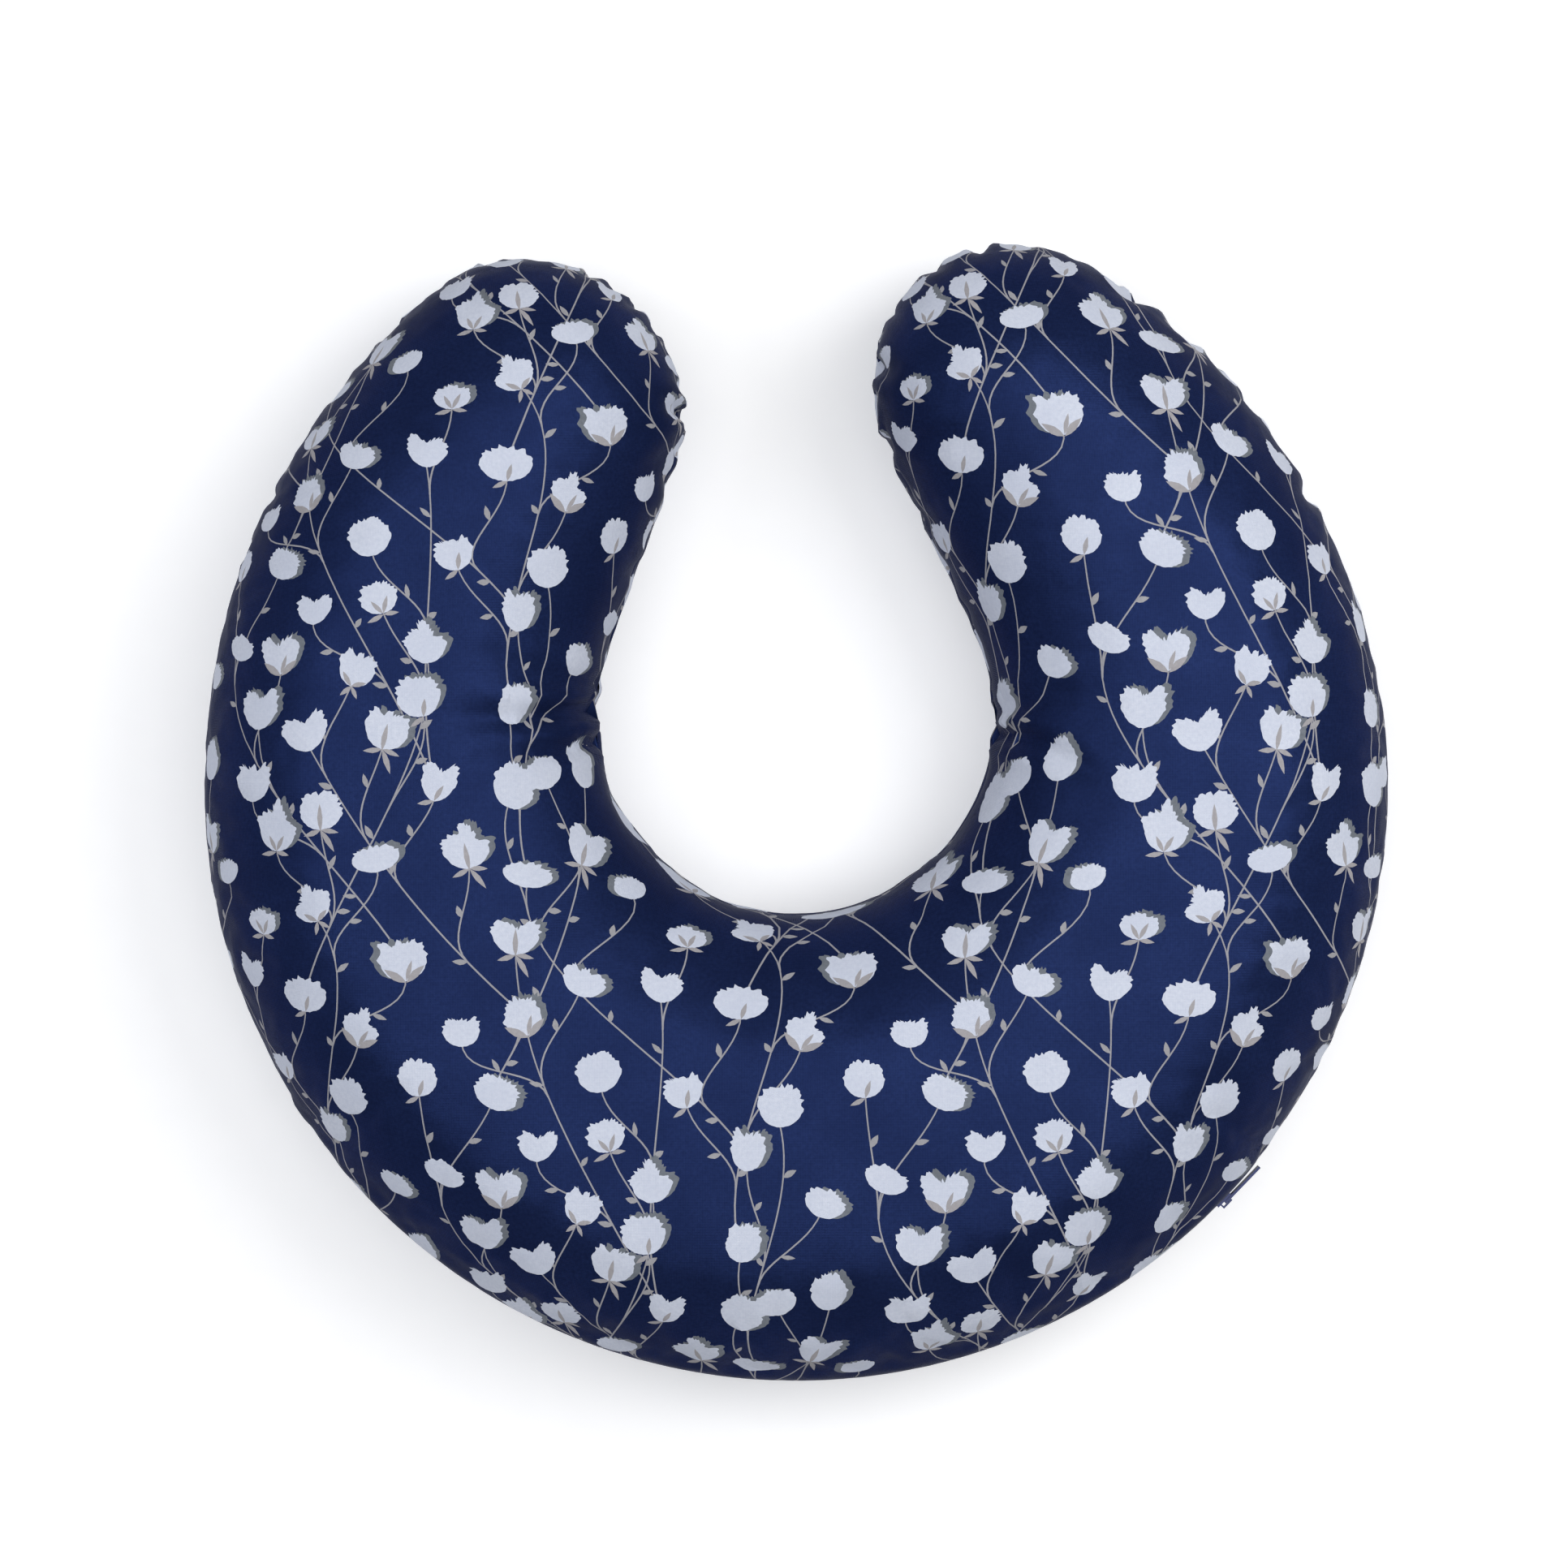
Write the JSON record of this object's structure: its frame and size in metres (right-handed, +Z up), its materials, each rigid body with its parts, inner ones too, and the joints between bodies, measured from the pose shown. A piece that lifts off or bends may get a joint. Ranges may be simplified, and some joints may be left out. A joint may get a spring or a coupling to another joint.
{
  "type": "nursing pillow",
  "caption": "C-shaped stuffed nursing pillow in a printed cotton cover that zips off along its outer base, with a plain inner cushion",
  "frame": {"origin": "on the surface that the pillow lies on, under the middle of its bounding box", "axes": "+Z up out of the broad face, +X across the two arms, +Y from the base of the C towards its mouth"},
  "size_m": [0.582, 0.5548, 0.15],
  "materials": {
    "printed_cotton": "satin",
    "navy_thread": "satin",
    "zip_tape": "matte",
    "zip_nylon": "satin",
    "zip_metal": "gloss",
    "liner_cotton": "matte",
    "white_thread": "matte",
    "label_tape": "satin",
    "polyester_fibre": "matte"
  },
  "bodies": {
    "pillow": {"cover_top_panel": "printed_cotton", "cover_bottom_panel": "printed_cotton", "cover_seam_thread": "navy_thread", "zip_tape_upper": "zip_tape", "zip_tape_lower": "zip_tape", "zip_coil_upper": "zip_nylon", "zip_coil_lower": "zip_nylon", "zip_stitching": "navy_thread", "zip_top_stops": "zip_nylon", "zip_bottom_stop": "zip_nylon", "cushion_top_panel": "liner_cotton", "cushion_bottom_panel": "liner_cotton", "cushion_seam_thread": "white_thread", "cushion_closing_stitch": "white_thread", "cushion_label": "label_tape", "fibre_filling": "polyester_fibre"},
    "slider": {"zip_slider": "zip_metal"},
    "pull": {"zip_pull_tab": "zip_metal"}
  },
  "joints": [
    {"name": "zip_slide", "type": "hinge", "parent": "pillow", "child": "slider", "pos_m": [0, 0.01447, 0.075], "axis": [0, 0, -1], "range_deg": [0, 92]},
    {"name": "pull_flip", "type": "hinge", "parent": "slider", "child": "pull", "pos_m": [0.21156, -0.18983, 0.075], "axis": [0, 0, -1], "range_deg": [0, 180]}
  ]
}
